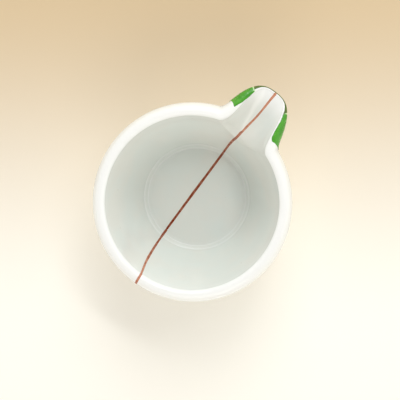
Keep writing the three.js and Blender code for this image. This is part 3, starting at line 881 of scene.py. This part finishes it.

# %% [markdown]
# Glaze is a skin of clear glass over white clay. Three things make it look real: a
# colour that drifts by a hair between warm and cool, a gloss that isn't quite even, and
# a slow ripple that bends the reflections. They are one node group, because the bowl,
# the slip and the foot all wear the same glaze. Molten glaze also runs, thinner on the
# lip and deeper inside, and the colour carries painted light and shade on top of that:
# the lip is painted pure white as if lit, and the inside a little grey as painted shade.


# %% Node helpers
def new_group(name, inputs, outputs):
    """A shader node group with named sockets. Returns it with its two end nodes."""
    group = bpy.data.node_groups.new(name, "ShaderNodeTree")
    for label, kind, value in inputs:
        socket = group.interface.new_socket(label, in_out="INPUT", socket_type="NodeSocket" + kind)
        if value is not None:
            socket.default_value = value
    for label, kind in outputs:
        group.interface.new_socket(label, in_out="OUTPUT", socket_type="NodeSocket" + kind)
    return group, group.nodes.new("NodeGroupInput"), group.nodes.new("NodeGroupOutput")


def fill_sockets(tree, made, sockets):
    """Sets or links a node's inputs: _0 is the first one, and Thin_Start is the one that
    is called Thin Start."""
    for label, value in sockets.items():
        number = label[1:]
        socket = made.inputs[int(number) if number.isdigit() else label.replace("_", " ")]
        if isinstance(value, bpy.types.NodeSocket):
            tree.links.new(value, socket)
        else:
            socket.default_value = value
    return made


def node(tree, kind, settings=(), **sockets):
    """A shader node with its settings made and its inputs filled."""
    made = tree.nodes.new("ShaderNode" + kind)
    for key, value in dict(settings).items():
        setattr(made, key, value)
    return fill_sockets(tree, made, sockets)


def math_node(tree, operation, a, b=0.0, clamp=False):
    """The output of one sum: a and b are numbers or sockets."""
    return node(tree, "Math", {"operation": operation, "use_clamp": clamp}, _0=a, _1=b).outputs[0]


def product(tree, a, b):
    """a times b."""
    return math_node(tree, "MULTIPLY", a, b)


def split(tree, vector):
    """The three parts of a vector."""
    return node(tree, "SeparateXYZ", (), _0=vector).outputs


def blend_colour(tree, share, a, b):
    """The colour a share of the way from a to b."""
    return node(tree, "Mix", {"data_type": "RGBA"}, _0=share, _6=a, _7=b).outputs[2]


def remap(tree, value, low, high, to_low=0.0, to_high=1.0):
    """A value stretched from one range to another and held inside it."""
    made = node(
        tree, "MapRange", {"interpolation_type": "SMOOTHSTEP"},
        _0=value, _1=low, _2=high, _3=to_low, _4=to_high,
    )
    return made.outputs[0]


def noise(tree, where, scale, detail=3.0, roughness=0.5):
    """A noise pattern's value, with `scale` cells to the metre."""
    return node(
        tree, "TexNoise", (), Vector=where, Scale=scale, Detail=detail, Roughness=roughness
    ).outputs[0]


# %% Glaze skin
DRIFT_SCALE, SPECK_SCALE, GLOSS_SCALE, RIPPLE_SCALE, PEEL_SCALE = 55, 260.0, 320, 170, 1100
SPECK_SHARE, SPECK_STRENGTH, GLOSS_RANGE, PEEL_SHARE = 0.965, 0.5, 0.07, 0.12
GLASS_IOR = 1.5


def build_glaze_skin():
    """Node group: colour, roughness and height of a clear glaze over white clay."""
    group, given, result = new_group(
        "glaze_skin",
        [
            ("Vector", "Vector", None),
            ("Warm White", "Color", (0.9, 0.9, 0.85, 1)),
            ("Cool White", "Color", (0.85, 0.9, 0.9, 1)),
            ("Speck Colour", "Color", (0.45, 0.38, 0.28, 1)),
            ("Gloss", "Float", 0.1),
        ],
        [("Colour", "Color"), ("Roughness", "Float"), ("Height", "Float")],
    )
    where = given.outputs["Vector"]
    drift = remap(group, noise(group, where, DRIFT_SCALE, 3, 0.55), 0.35, 0.65)
    colour = blend_colour(group, drift, given.outputs["Warm White"], given.outputs["Cool White"])
    specks = node(group, "TexVoronoi", (), Vector=where, Scale=SPECK_SCALE, Randomness=1.0)
    cell = node(group, "SeparateColor", (), _0=specks.outputs["Color"]).outputs[0]
    chosen = math_node(group, "GREATER_THAN", cell, SPECK_SHARE)
    dot = remap(group, specks.outputs["Distance"], 0.03, 0.085, 1.0, 0.0)
    amount = product(group, product(group, dot, chosen), SPECK_STRENGTH)
    colour = blend_colour(group, amount, colour, given.outputs["Speck Colour"])
    uneven = remap(group, noise(group, where, GLOSS_SCALE, 4, 0.6), 0.3, 0.7, 0.0, GLOSS_RANGE)
    rough = math_node(group, "ADD", given.outputs["Gloss"], uneven)
    ripple = noise(group, where, RIPPLE_SCALE, 2, 0.4)
    peel = product(group, noise(group, where, PEEL_SCALE, 2, 0.5), PEEL_SHARE)
    height = math_node(group, "ADD", ripple, peel)
    group.links.new(colour, result.inputs["Colour"])
    group.links.new(rough, result.inputs["Roughness"])
    group.links.new(height, result.inputs["Height"])
    return group


glaze_skin = build_glaze_skin()


def new_material(name):
    """An empty node material: its tree, its main shader and its place on the piece."""
    material = bpy.data.materials.new(name)
    material.use_nodes = True
    tree = material.node_tree
    shader = tree.nodes["Principled BSDF"]
    where = tree.nodes.new("ShaderNodeTexCoord").outputs["Object"]
    return material, tree, shader, where


def place_group(tree, group, **sockets):
    """A node group placed in a material, with its named inputs filled."""
    made = tree.nodes.new("ShaderNodeGroup")
    made.node_tree = group
    return fill_sockets(tree, made, sockets)


def feed(tree, shader, colour, roughness, height, depth):
    """Links colour, roughness and a bump of that depth in metres to the main shader."""
    bump = node(tree, "Bump", (), Strength=1.0, Distance=depth, Height=height)
    tree.links.new(colour, shader.inputs["Base Color"])
    tree.links.new(roughness, shader.inputs["Roughness"])
    tree.links.new(bump.outputs[0], shader.inputs["Normal"])


print("glaze skin:", len(glaze_skin.nodes), "nodes")

# %% [markdown]
# One material covers bowl and spout. Its colour follows the depth of the glaze, and it
# also carries painted light and shade: white on the lip and towards the channel's end as
# painted light, grey inside and a little grey down the outside as painted shade, and a
# thin white line of painted highlight on each of the floor's two rings. The mask could be
# painted by hand, but it follows from the shape: the form UV map says how far up the
# wall a point is, and the distance from the axis finds the two rings.

# %% Porcelain
# Painted light: between these two x values the glaze colour turns white towards the channel's end.
PAINTED_TIP_LIGHT_X = (AXIS_X + 44 * MM, AXIS_X + 55 * MM)
# Painted highlight: how much whiter the glaze colour is on each of the floor's rings.
RING_PAINTED_HIGHLIGHT = 0.4
# Painted shade: how far down the outside is painted towards the inside's grey.
OUTSIDE_PAINTED_SHADE = 0.85
GLAZE_RIPPLE = 0.04 * MM


def wall_place(tree):
    """s, read from the form UV map."""
    form = tree.nodes.new("ShaderNodeUVMap")
    form.uv_map = "form"
    return product(tree, split(tree, form.outputs[0])[1], FORM_SPAN)


def ring_painted_highlight(tree, radius, ring):
    """Painted highlight on one of the floor's rings: how much whiter it is, falling to 0 over its width.
    """
    away = math_node(tree, "ABSOLUTE", math_node(tree, "SUBTRACT", radius, ring))
    return remap(tree, away, 0.1 * MM, RING_WIDTH, RING_PAINTED_HIGHLIGHT, 0.0)


def glaze_depth_and_painted_shade(tree, where):
    """Share from the lip's white to the inside's grey, for glaze depth with painted light and
    shade: 1 down inside as painted shade, less on the floor's rings as painted highlight and
    towards the channel's end as painted light, 0 on the lip, painted white as if lit, and a
    smaller share down the outside as painted shade."""
    s = wall_place(tree)
    x, y, _ = split(tree, where)
    from_axis = math_node(tree, "SUBTRACT", x, AXIS_X)
    squares = [product(tree, side, side) for side in (from_axis, y)]
    radius = math_node(tree, "SQRT", math_node(tree, "ADD", *squares))
    inside = product(
        tree, remap(tree, s, 0.9, 1.28, 1.0, 0.0), remap(tree, x, *PAINTED_TIP_LIGHT_X, 1.0, 0.0)
    )
    on_floor = remap(tree, s, 0.5, 0.6, 1.0, 0.0)
    for ring in RING_RADII:
        ring_highlight = product(tree, ring_painted_highlight(tree, radius, ring), on_floor)
        inside = math_node(tree, "SUBTRACT", inside, ring_highlight, clamp=True)
    outside = remap(tree, s, 1.5, 2.1, 0.0, OUTSIDE_PAINTED_SHADE)
    return math_node(tree, "MAXIMUM", inside, outside)


def porcelain_material(name):
    """White clay under a clear glaze, thinner on the lip, with painted light and shade: the lip is painted
    white as if lit, and the rest painted greyer as shade.
    """
    material, tree, shader, where = new_material(name)
    skin = place_group(
        tree, glaze_skin, Vector=where, Warm_White=SHADED_WARM_WHITE, Cool_White=SHADED_COOL_WHITE, Gloss=0.05
    )
    colour = blend_colour(tree, glaze_depth_and_painted_shade(tree, where), LIT_LIP_WHITE, skin.outputs["Colour"])
    feed(
        tree, shader, colour, skin.outputs["Roughness"], skin.outputs["Height"], GLAZE_RIPPLE
    )
    shader.inputs["IOR"].default_value = GLASS_IOR
    return material


# Lit and shaded copies of one white: the lip's white is painted light, and the two greyer whites, which
# drift into each other at random, are painted shade.
LIT_LIP_WHITE = (0.885, 0.895, 0.885, 1)
SHADED_WARM_WHITE = (0.762, 0.77, 0.724, 1)
SHADED_COOL_WHITE = (0.737, 0.775, 0.738, 1)
porcelain = porcelain_material("porcelain_glaze")
slip_glaze = porcelain_material("joint_slip_glaze")
print("finishes:", porcelain.name, slip_glaze.name)

# %% [markdown]
# The foot is glazed down its sides and bare on its tread. Bare porcelain is matt, a
# little warmer, and has a fine grain. The border between them is a hand-wiped line, so
# it follows the height with some noise added, and the glaze ends in a thin tan halo.


# %% Foot clay
FOOT_WHITE = (0.785, 0.795, 0.757, 1)
CLAY_DARK, CLAY_LIGHT = (0.70, 0.64, 0.54, 1), (0.80, 0.76, 0.67, 1)
HALO_TAN = (0.74, 0.6, 0.42, 1)
WIPED_WAVER = 0.7 * MM
WIPED_FROM, WIPED_TO, HALO_TO = 1.1 * MM, 1.3 * MM, 2.2 * MM
FOOT_GRAIN = 0.05 * MM


def foot_material():
    """Glaze above the wiped line, bare clay below it."""
    material, tree, shader, where = new_material("foot_clay")
    skin = place_group(
        tree, glaze_skin, Vector=where,
        Warm_White=FOOT_WHITE, Cool_White=FOOT_WHITE, Gloss=0.1,
    )
    wavering = product(tree, noise(tree, where, 150), WIPED_WAVER)
    wiped = math_node(tree, "ADD", split(tree, where)[2], wavering)
    glazed = remap(tree, wiped, WIPED_FROM, WIPED_TO)
    halo = product(tree, remap(tree, wiped, WIPED_TO, HALO_TO, 1.0, 0.0), 0.45)
    patches = remap(tree, noise(tree, where, 900, 4, 0.65), 0.3, 0.7)
    colour = blend_colour(
        tree, glazed,
        blend_colour(tree, patches, CLAY_DARK, CLAY_LIGHT),
        blend_colour(tree, halo, skin.outputs["Colour"], HALO_TAN),
    )
    rough = remap(tree, glazed, 0.0, 1.0, 0.8, 0.12)
    bare = remap(tree, glazed, 0.0, 1.0, 0.8, 0.02)
    grain = product(tree, noise(tree, where, 5200, 4, 0.7), bare)
    height = math_node(tree, "ADD", grain, product(tree, glazed, 2.0))
    feed(tree, shader, colour, rough, height, FOOT_GRAIN)
    shader.inputs["IOR"].default_value = GLASS_IOR
    return material


foot_clay = foot_material()
print("the tread is bare up to", round(WIPED_FROM, 4))

# %% [markdown]
# Overglaze enamel is coloured glass. Where the brush was loaded it is dark, and where it
# ran dry the white glaze shows through. Its edges dry first, so they are darker or, in a
# thin wash, paler. The UV map tells the material how far along and across a stroke it
# is. One group does this for both colours.


# %% Enamel
MOTTLE_SCALE, MOTTLE = 420, 0.28
EDGE_SHARE = 0.75
ENAMEL_RIPPLE = 0.03 * MM
ENAMEL_SPECULAR = 0.35


def build_brushed_enamel():
    """Node group: colour, roughness and height of brushed enamel from a stroke's UV."""
    group, given, result = new_group(
        "brushed_enamel",
        [
            ("Vector", "Vector", None),
            ("Stroke", "Vector", None),
            ("Loaded", "Color", (0.2, 0.02, 0.02, 1)),
            ("Thin", "Color", (0.6, 0.3, 0.3, 1)),
            ("Edge", "Color", (0.1, 0.01, 0.01, 1)),
            ("Thin Start", "Float", 0.2),
            ("Thin End", "Float", 0.5),
            ("Edge Width", "Float", 0.2),
            ("Washed", "Color", (0.5, 0.7, 0.4, 1)),
            ("Washed From", "Float", 1.0),
        ],
        [("Colour", "Color"), ("Roughness", "Float"), ("Height", "Float")],
    )
    where = given.outputs["Vector"]
    along, across, _ = split(group, given.outputs["Stroke"])
    drying = node(
        group, "MapRange", (), _0=along, _1=0.0, _2=1.0,
        _3=given.outputs["Thin Start"], _4=given.outputs["Thin End"],
    ).outputs[0]
    mottle = remap(group, noise(group, where, MOTTLE_SCALE, 4, 0.6), 0.25, 0.75, -MOTTLE, MOTTLE)
    thinness = math_node(group, "ADD", drying, mottle, clamp=True)
    colour = blend_colour(group, thinness, given.outputs["Loaded"], given.outputs["Thin"])
    from_middle = math_node(group, "ABSOLUTE", math_node(group, "SUBTRACT", across, 0.5))
    inner = math_node(group, "SUBTRACT", 0.5, given.outputs["Edge Width"])
    edge = remap(group, from_middle, inner, 0.5)
    colour = blend_colour(group, product(group, edge, EDGE_SHARE), colour, given.outputs["Edge"])
    beyond = math_node(group, "SUBTRACT", along, given.outputs["Washed From"])
    washed = remap(group, beyond, 0.0, 0.03)
    colour = blend_colour(group, washed, colour, given.outputs["Washed"])
    rough = remap(group, noise(group, where, 900), 0.3, 0.7, 0.14, 0.3)
    height = noise(group, where, 700, 3, 0.5)
    group.links.new(colour, result.inputs["Colour"])
    group.links.new(rough, result.inputs["Roughness"])
    group.links.new(height, result.inputs["Height"])
    return group


brushed_enamel = build_brushed_enamel()


def enamel_material(name, paint, thin_start, thin_end, edge_width, washed_from=1.1):
    """Coloured glass for one stroke. paint gives its colours, thin_start and thin_end how
    pale it is at its two ends, and past washed_from of its length it is a pale tint."""
    material, tree, shader, where = new_material(name)
    stroke = tree.nodes.new("ShaderNodeUVMap")
    stroke.uv_map = "stroke"
    brushed = place_group(
        tree, brushed_enamel, Vector=where, Stroke=stroke.outputs[0], **paint,
        Thin_Start=thin_start, Thin_End=thin_end, Edge_Width=edge_width,
        Washed_From=washed_from, Washed=WASHED_GREEN,
    ).outputs
    feed(
        tree, shader, brushed["Colour"], brushed["Roughness"], brushed["Height"], ENAMEL_RIPPLE
    )
    shader.inputs["IOR"].default_value = GLASS_IOR
    shader.inputs["Specular IOR Level"].default_value = ENAMEL_SPECULAR
    return material


print("brushed enamel:", len(brushed_enamel.nodes), "nodes")

# %% [markdown]
# Iron red goes from brown-red where it is thick to pink where it is thin. Copper green is
# clear and bright on the lip. On the tip's thin edge it was fired harder and turned
# olive. Each stroke gets its own material, because each began with a freshly loaded
# brush and ran dry in its own way.

# %% Finishes on the pieces
RED = {
    "Loaded": (0.2, 0.022, 0.003, 1),
    "Thin": (0.58, 0.26, 0.16, 1),
    "Edge": (0.52, 0.15, 0.05, 1),
}
GREEN = {
    "Loaded": (0.04, 0.26, 0.015, 1),
    "Thin": (0.13, 0.44, 0.05, 1),
    "Edge": (0.05, 0.22, 0.03, 1),
}
OLIVE = {
    "Loaded": (0.05, 0.10, 0.015, 1),
    "Thin": (0.17, 0.26, 0.06, 1),
    "Edge": (0.05, 0.08, 0.015, 1),
}
WASHED_GREEN = (0.52, 0.72, 0.40, 1)
STROKES = [
    (red_spout, RED, 1.1, 0.75, 0.2),
    (red_floor, RED, 0.4, 0.1, 0.2),
    (red_far_wall, RED, 0.15, 0.85, 0.2),
    (red_outside, RED, 0.75, 0.5, 0.2),
    (green_left, GREEN, 0.45, 0.25, 0.16, 0.93),
    (green_right, GREEN, 0.45, 0.25, 0.16, 0.93),
    (green_tip, OLIVE, 0.3, 0.3, 0.2),
]
for piece, *brush in STROKES:
    piece.data.materials.append(enamel_material(piece.name + "_enamel", *brush))
CLAYS = [(bowl, porcelain), (spout, porcelain), (joint_slip, slip_glaze), (foot, foot_clay)]
for piece, finish in CLAYS:
    piece.data.materials.append(finish)
print("materials:", sorted(m.name for m in bpy.data.materials))

# %% [markdown]
# The stage is a plain pale table, cream in front and a warm tan at its far side: painted
# shade, as light falls off across a paper sweep. A flat disc is enough for it, and its
# colour is worked out from the distance along the camera's upward direction.

# %% Table
STAGE_SIZE = 2.5
TILT = math.radians(5.7)
TURN = math.radians(37.7)
NEAR_EDGE, FAR_EDGE = -0.07, 0.095
# The tan at the far side is painted shade.
CREAM, TAN = (1.0, 0.975, 0.905, 1), (0.66, 0.51, 0.32, 1)


def table_material():
    """A smooth pale sheet whose colour goes from cream to a warm tan across it, as painted shade towards
    the far side.
    """
    material, tree, shader, where = new_material("pale_table")
    x, y, _ = split(tree, where)
    away = math_node(
        tree, "ADD", product(tree, x, math.cos(TURN)), product(tree, y, math.sin(TURN))
    )
    colour = blend_colour(tree, remap(tree, away, NEAR_EDGE, FAR_EDGE), CREAM, TAN)
    tree.links.new(colour, shader.inputs["Base Color"])
    shader.inputs["Roughness"].default_value = 0.9
    shader.inputs["Specular IOR Level"].default_value = 0.1
    return material


def table_disc():
    """A flat disc at z = 0: rings of points round the middle."""
    theta = np.linspace(0, 2 * np.pi, 65)[None, :-1]
    radius = np.array([1e-4, 0.2, 1, STAGE_SIZE])[:, None]
    points = polar(theta, radius + 0 * theta, 0 * radius + 0 * theta)
    faces = grid_faces(*points.shape[:2], False, True)
    mesh = bpy.data.meshes.new("table")
    mesh.from_pydata(points.reshape(-1, 3), [], faces)
    disc = bpy.data.objects.new("table", mesh)
    bpy.context.scene.collection.objects.link(disc)
    return disc


table = table_disc()
table.data.materials.append(table_material())
print("the table is", 2 * STAGE_SIZE, "across")

# %% [markdown]
# Glossy porcelain shows its lights. A big softbox is the key light and models the inside.
# A small window-like strip beside it draws a line of light along the floor's rings, and a
# warm, weak fill opens the shadow. The world is a soft tent: bright near the horizon and
# dimmer overhead, so the lip, which faces the sides, is lighter than the inside.

# %% Light
def soft_light(name, azimuth, elevation, distance, size, power, colour):
    """A flat light, seen from the bowl at an azimuth from +X and an elevation."""
    data = bpy.data.lights.new(name, "AREA")
    data.shape, data.size, data.size_y = "RECTANGLE", *size
    data.energy, data.color = power, colour
    lamp = bpy.data.objects.new(name, data)
    a, e = math.radians(azimuth), math.radians(elevation)
    to_lamp = Vector((math.cos(e) * math.cos(a), math.cos(e) * math.sin(a), math.sin(e)))
    lamp.location = Vector((0, 0, HEIGHT / 2)) + to_lamp * distance
    lamp.rotation_mode = "QUATERNION"
    lamp.rotation_quaternion = to_lamp.to_track_quat("Z", "Y")
    lamp.visible_camera = False
    bpy.context.scene.collection.objects.link(lamp)


KEY_AZIMUTH = math.degrees(TURN) - 8
soft_light("key_softbox", KEY_AZIMUTH, 42, 0.9, (0.5, 0.5), 3.0, (0.95, 0.985, 1.0))
soft_light("window_strip", KEY_AZIMUTH - 28, 58, 0.9, (0.45, 0.08), 1.2, (0.96, 0.99, 1.0))
soft_light("fill_softbox", KEY_AZIMUTH + 190, 38, 1.1, (0.7, 0.7), 2.9, (1.0, 0.95, 0.875))
print("lights:", [lamp.name for lamp in bpy.data.lights])


def soft_tent(horizon, overhead, colour):
    """World light that goes from the horizon's brightness to the one overhead."""
    world = bpy.data.worlds.new("soft_tent")
    bpy.context.scene.world = world
    world.use_nodes = True
    tree = world.node_tree
    direction = tree.nodes.new("ShaderNodeTexCoord").outputs["Generated"]
    share = remap(tree, split(tree, direction)[2], 0.25, 0.85)
    strength = node(tree, "Mix", {"data_type": "FLOAT"}, _0=share, _2=horizon, _3=overhead)
    background = tree.nodes["Background"]
    background.inputs["Color"].default_value = colour
    tree.links.new(strength.outputs[0], background.inputs["Strength"])


soft_tent(1.26, 0.38, (1.0, 0.968, 0.918, 1))
bpy.context.scene.view_settings.view_transform = "Standard"

# %% [markdown]
# The camera looks almost straight down into the bowl, tilted a few degrees towards the
# spout, with the spout pointing up and to the right. Its three directions are worked out
# and put into its matrix, because angles are easy to get wrong near the vertical.

# %% Camera
CAMERA_DISTANCE = 465 * MM
LENS = 105
aim = Vector((AXIS_X + 3.05 * MM, -1.87 * MM, HEIGHT - 1.5 * MM))
back = Vector((math.sin(TILT), 0, math.cos(TILT)))
picture_up = Vector((math.cos(TURN), math.sin(TURN), 0))
picture_right = picture_up.cross(back).normalized()
picture_up = back.cross(picture_right)

camera_data = bpy.data.cameras.new("camera")
camera_data.lens = LENS
camera = bpy.data.objects.new("camera", camera_data)
turn = Matrix((picture_right, picture_up, back)).transposed().to_4x4()
camera.matrix_world = Matrix.Translation(aim + back * CAMERA_DISTANCE) @ turn
bpy.context.scene.collection.objects.link(camera)
bpy.context.scene.camera = camera
print("the camera is", CAMERA_DISTANCE, "away with a", LENS, "mm lens")
